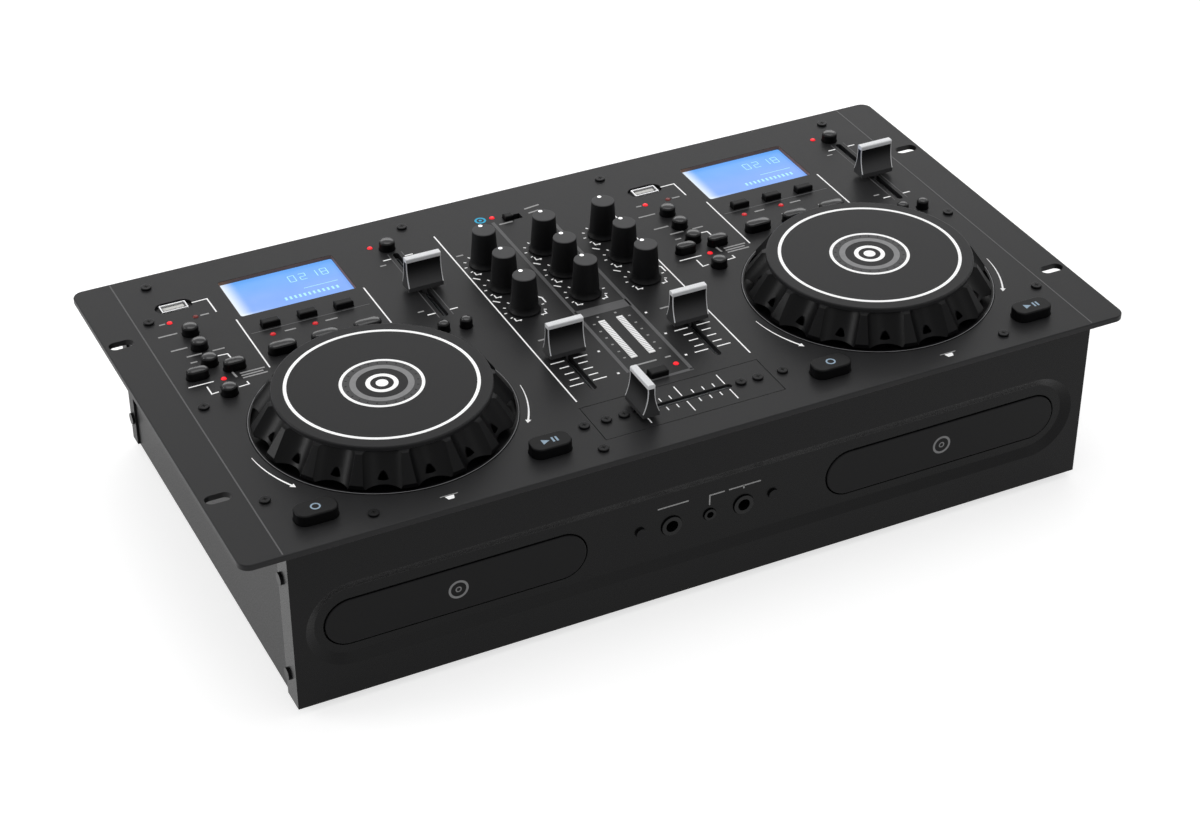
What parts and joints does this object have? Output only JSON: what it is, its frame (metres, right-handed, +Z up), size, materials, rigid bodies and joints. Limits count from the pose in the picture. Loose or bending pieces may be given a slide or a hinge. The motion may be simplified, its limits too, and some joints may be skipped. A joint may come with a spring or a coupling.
{
  "type": "dual disc player console",
  "caption": "Rack-width console with a jog wheel, display, tray and keys for each deck, and a small mixer of knobs and faders between them.",
  "frame": {"origin": "on the surface the console stands on, under the middle of the top panel", "axes": "+Z up, -Y out of the front panel, +X to the right of someone facing the front"},
  "size_m": [0.4826, 0.26, 0.117],
  "materials": {
    "case_steel": "satin black paint",
    "panel_steel": "satin black paint",
    "screw_steel": "blackened",
    "foot_rubber": "matt",
    "window_acrylic": "clear, polished",
    "display_module": "lit blue",
    "port_steel": "plated",
    "red_lens": "clear red",
    "black_plastic": "fine texture",
    "key_plastic": "fine texture",
    "circuit_board": "solder mask"
  },
  "bodies": {
    "chassis": {"bottom_chassis": "case_steel", "front_panel": "case_steel", "rear_panel": "case_steel", "top_panel": "panel_steel", "crossfader_plate": "panel_steel", "panel_screws": "screw_steel", "chassis_screws": "screw_steel", "rubber_feet": "foot_rubber", "display_windows": "window_acrylic", "display_modules": "display_module", "data_ports": "port_steel", "indicator_lamps": "red_lens", "jog_housings": "black_plastic", "circuit_boards": "circuit_board", "power_supply": "circuit_board", "disc_loaders": "black_plastic", "front_jacks": "black_plastic", "rear_jacks": "black_plastic", "power_inlet": "black_plastic", "potentiometers": "port_steel", "fader_units": "port_steel"},
    "left_jog": {"left_jog_wheel": "black_plastic"},
    "left_tray": {"left_disc_tray": "black_plastic", "left_tray_bezel": "black_plastic"},
    "left_hub": {"left_drive_hub": "black_plastic"},
    "left_cue_button": {"left_cue_button": "key_plastic"},
    "left_play_button": {"left_play_button": "key_plastic"},
    "left_display_keys": {"left_display_keys": "key_plastic"},
    "left_track_keys": {"left_track_keys": "key_plastic"},
    "left_bend_keys": {"left_bend_keys": "key_plastic"},
    "left_pitch_key": {"left_pitch_key": "key_plastic"},
    "left_source_keys": {"left_source_keys": "key_plastic"},
    "left_pitch_fader": {"left_pitch_fader": "black_plastic"},
    "left_channel_fader": {"left_channel_fader": "black_plastic"},
    "right_jog": {"right_jog_wheel": "black_plastic"},
    "right_tray": {"right_disc_tray": "black_plastic", "right_tray_bezel": "black_plastic"},
    "right_hub": {"right_drive_hub": "black_plastic"},
    "right_cue_button": {"right_cue_button": "key_plastic"},
    "right_play_button": {"right_play_button": "key_plastic"},
    "right_display_keys": {"right_display_keys": "key_plastic"},
    "right_track_keys": {"right_track_keys": "key_plastic"},
    "right_bend_keys": {"right_bend_keys": "key_plastic"},
    "right_pitch_key": {"right_pitch_key": "key_plastic"},
    "right_source_keys": {"right_source_keys": "key_plastic"},
    "right_pitch_fader": {"right_pitch_fader": "black_plastic"},
    "right_channel_fader": {"right_channel_fader": "black_plastic"},
    "left_rear_knob": {"left_rear_knob": "black_plastic"},
    "left_centre_knob": {"left_centre_knob": "black_plastic"},
    "left_front_knob": {"left_front_knob": "black_plastic"},
    "middle_rear_knob": {"middle_rear_knob": "black_plastic"},
    "middle_centre_knob": {"middle_centre_knob": "black_plastic"},
    "middle_front_knob": {"middle_front_knob": "black_plastic"},
    "right_rear_knob": {"right_rear_knob": "black_plastic"},
    "right_centre_knob": {"right_centre_knob": "black_plastic"},
    "right_front_knob": {"right_front_knob": "black_plastic"},
    "crossfader": {"crossfader": "black_plastic"},
    "mixer_button": {"mixer_button": "key_plastic"},
    "slide_switch": {"slide_switch": "black_plastic"},
    "power_switch": {"power_switch": "black_plastic"}
  },
  "joints": [
    {"name": "left_jog_spin", "type": "hinge", "parent": "chassis", "child": "left_jog", "pos_m": [-0.137, -0.0452, 0.1], "axis": [0, 0, 1], "continuous": true},
    {"name": "left_tray_slide", "type": "slide", "parent": "chassis", "child": "left_tray", "axis": [0, -1, 0], "range_m": [0, 0.132]},
    {"name": "left_hub_spin", "type": "hinge", "parent": "chassis", "child": "left_hub", "pos_m": [-0.135, -0.0562, 0.038], "axis": [0, 0, 1], "continuous": true},
    {"name": "left_cue_press", "type": "slide", "parent": "chassis", "child": "left_cue_button", "axis": [0, 0, -1], "range_m": [0, 0.0015], "stiffness_N_per_m": 600},
    {"name": "left_play_press", "type": "slide", "parent": "chassis", "child": "left_play_button", "axis": [0, 0, -1], "range_m": [0, 0.0015], "stiffness_N_per_m": 600},
    {"name": "left_display_keys_press", "type": "slide", "parent": "chassis", "child": "left_display_keys", "axis": [0, 0, -1], "range_m": [0, 0.001], "stiffness_N_per_m": 600},
    {"name": "left_track_keys_press", "type": "slide", "parent": "chassis", "child": "left_track_keys", "axis": [0, 0, -1], "range_m": [0, 0.001], "stiffness_N_per_m": 600},
    {"name": "left_bend_keys_press", "type": "slide", "parent": "chassis", "child": "left_bend_keys", "axis": [0, 0, -1], "range_m": [0, 0.001], "stiffness_N_per_m": 600},
    {"name": "left_pitch_key_press", "type": "slide", "parent": "chassis", "child": "left_pitch_key", "axis": [0, 0, -1], "range_m": [0, 0.001], "stiffness_N_per_m": 600},
    {"name": "left_source_keys_press", "type": "slide", "parent": "chassis", "child": "left_source_keys", "axis": [0, 0, -1], "range_m": [0, 0.001], "stiffness_N_per_m": 600},
    {"name": "left_pitch_slide", "type": "slide", "parent": "chassis", "child": "left_pitch_fader", "axis": [0, 1, 0], "range_m": [-0.0255, 0.0345]},
    {"name": "left_channel_slide", "type": "slide", "parent": "chassis", "child": "left_channel_fader", "axis": [0, 1, 0], "range_m": [-0.03, 0]},
    {"name": "right_jog_spin", "type": "hinge", "parent": "chassis", "child": "right_jog", "pos_m": [0.137, -0.0452, 0.1], "axis": [0, 0, 1], "continuous": true},
    {"name": "right_tray_slide", "type": "slide", "parent": "chassis", "child": "right_tray", "axis": [0, -1, 0], "range_m": [0, 0.132]},
    {"name": "right_hub_spin", "type": "hinge", "parent": "chassis", "child": "right_hub", "pos_m": [0.135, -0.0562, 0.038], "axis": [0, 0, 1], "continuous": true},
    {"name": "right_cue_press", "type": "slide", "parent": "chassis", "child": "right_cue_button", "axis": [0, 0, -1], "range_m": [0, 0.0015], "stiffness_N_per_m": 600},
    {"name": "right_play_press", "type": "slide", "parent": "chassis", "child": "right_play_button", "axis": [0, 0, -1], "range_m": [0, 0.0015], "stiffness_N_per_m": 600},
    {"name": "right_display_keys_press", "type": "slide", "parent": "chassis", "child": "right_display_keys", "axis": [0, 0, -1], "range_m": [0, 0.001], "stiffness_N_per_m": 600},
    {"name": "right_track_keys_press", "type": "slide", "parent": "chassis", "child": "right_track_keys", "axis": [0, 0, -1], "range_m": [0, 0.001], "stiffness_N_per_m": 600},
    {"name": "right_bend_keys_press", "type": "slide", "parent": "chassis", "child": "right_bend_keys", "axis": [0, 0, -1], "range_m": [0, 0.001], "stiffness_N_per_m": 600},
    {"name": "right_pitch_key_press", "type": "slide", "parent": "chassis", "child": "right_pitch_key", "axis": [0, 0, -1], "range_m": [0, 0.001], "stiffness_N_per_m": 600},
    {"name": "right_source_keys_press", "type": "slide", "parent": "chassis", "child": "right_source_keys", "axis": [0, 0, -1], "range_m": [0, 0.001], "stiffness_N_per_m": 600},
    {"name": "right_pitch_slide", "type": "slide", "parent": "chassis", "child": "right_pitch_fader", "axis": [0, 1, 0], "range_m": [-0.0255, 0.0345]},
    {"name": "right_channel_slide", "type": "slide", "parent": "chassis", "child": "right_channel_fader", "axis": [0, 1, 0], "range_m": [-0.03, 0]},
    {"name": "left_rear_knob_turn", "type": "hinge", "parent": "chassis", "child": "left_rear_knob", "pos_m": [-0.035, 0.062, 0.105], "axis": [0, 0, 1], "range_deg": [-150, 150]},
    {"name": "left_centre_knob_turn", "type": "hinge", "parent": "chassis", "child": "left_centre_knob", "pos_m": [-0.035, 0.0365, 0.105], "axis": [0, 0, 1], "range_deg": [-150, 150]},
    {"name": "left_front_knob_turn", "type": "hinge", "parent": "chassis", "child": "left_front_knob", "pos_m": [-0.035, 0.0115, 0.105], "axis": [0, 0, 1], "range_deg": [-150, 150]},
    {"name": "middle_rear_knob_turn", "type": "hinge", "parent": "chassis", "child": "middle_rear_knob", "pos_m": [0, 0.062, 0.105], "axis": [0, 0, 1], "range_deg": [-150, 150]},
    {"name": "middle_centre_knob_turn", "type": "hinge", "parent": "chassis", "child": "middle_centre_knob", "pos_m": [0, 0.0365, 0.105], "axis": [0, 0, 1], "range_deg": [-150, 150]},
    {"name": "middle_front_knob_turn", "type": "hinge", "parent": "chassis", "child": "middle_front_knob", "pos_m": [0, 0.0115, 0.105], "axis": [0, 0, 1], "range_deg": [-150, 150]},
    {"name": "right_rear_knob_turn", "type": "hinge", "parent": "chassis", "child": "right_rear_knob", "pos_m": [0.035, 0.062, 0.105], "axis": [0, 0, 1], "range_deg": [-150, 150]},
    {"name": "right_centre_knob_turn", "type": "hinge", "parent": "chassis", "child": "right_centre_knob", "pos_m": [0.035, 0.0365, 0.105], "axis": [0, 0, 1], "range_deg": [-150, 150]},
    {"name": "right_front_knob_turn", "type": "hinge", "parent": "chassis", "child": "right_front_knob", "pos_m": [0.035, 0.0115, 0.105], "axis": [0, 0, 1], "range_deg": [-150, 150]},
    {"name": "crossfader_slide", "type": "slide", "parent": "chassis", "child": "crossfader", "axis": [1, 0, 0], "range_m": [0, 0.045]},
    {"name": "mixer_button_press", "type": "slide", "parent": "chassis", "child": "mixer_button", "axis": [0, 0, -1], "range_m": [0, 0.001], "stiffness_N_per_m": 600},
    {"name": "slide_switch_slide", "type": "slide", "parent": "chassis", "child": "slide_switch", "axis": [1, 0, 0], "range_m": [0, 0.0049]},
    {"name": "power_switch_rock", "type": "hinge", "parent": "chassis", "child": "power_switch", "pos_m": [0.112, 0.1205, 0.044], "axis": [1, 0, 0], "range_deg": [0, 16]}
  ]
}
